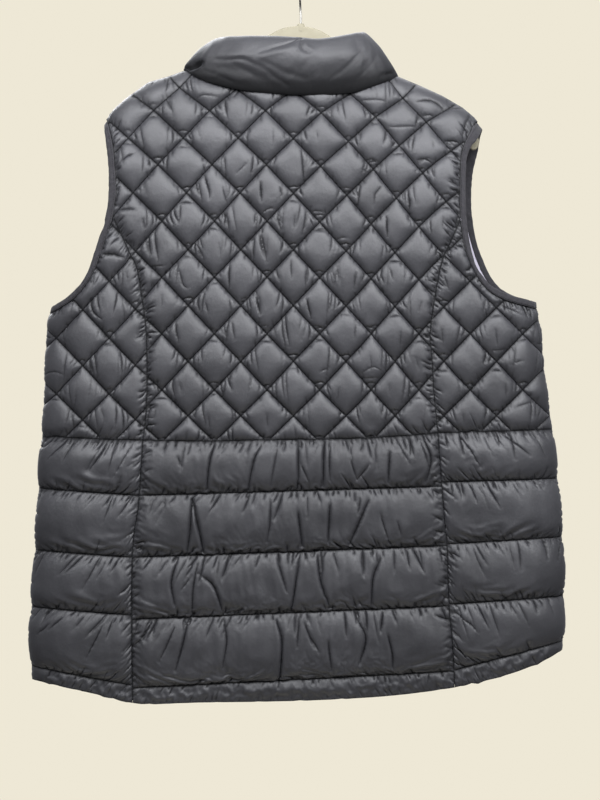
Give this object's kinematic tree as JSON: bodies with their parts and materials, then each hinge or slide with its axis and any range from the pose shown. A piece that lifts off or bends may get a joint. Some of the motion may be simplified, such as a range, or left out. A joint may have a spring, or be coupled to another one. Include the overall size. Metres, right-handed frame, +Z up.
{
  "type": "quilted puffer vest on a clothes hanger",
  "caption": "Sleeveless quilted puffer vest with a padded stand collar and a zipped front, hanging flat on a slim clothes hanger with a wire hook.",
  "frame": {"origin": "inner top of the hanger's hook, where a rail would carry it", "axes": "+Z up, -Y out of the vest's back (the quilted side that is shown), +Y out of its zipped front, +X to the right when the back is looked at"},
  "size_m": [0.6497, 0.0912, 0.8903],
  "materials": {
    "shell_nylon": "glossy",
    "armhole_elastic": "matte",
    "zip_tape": "matte",
    "zip_metal": "satin",
    "hanger_plastic": "matte",
    "hook_steel": "polished"
  },
  "bodies": {
    "vest": {"back_centre_upper": "shell_nylon", "back_side_upper_left": "shell_nylon", "back_side_upper_right": "shell_nylon", "back_centre_lower": "shell_nylon", "back_side_lower_left": "shell_nylon", "back_side_lower_right": "shell_nylon", "front_left_upper": "shell_nylon", "front_right_upper": "shell_nylon", "front_left_lower": "shell_nylon", "front_right_lower": "shell_nylon", "collar": "shell_nylon", "armhole_binding_left": "armhole_elastic", "armhole_binding_right": "armhole_elastic", "zip_tape_left": "zip_tape", "zip_tape_right": "zip_tape", "zip_slider": "zip_metal", "hanger": "hanger_plastic", "hook": "hook_steel"},
    "pull_tab": {"zip_pull_tab": "zip_metal"}
  },
  "joints": [
    {"name": "pull_tab_hinge", "type": "hinge", "parent": "vest", "child": "pull_tab", "pos_m": [-0.00893, 0.028, -0.2235], "axis": [1, 0, 0], "range_deg": [0, 150]}
  ]
}
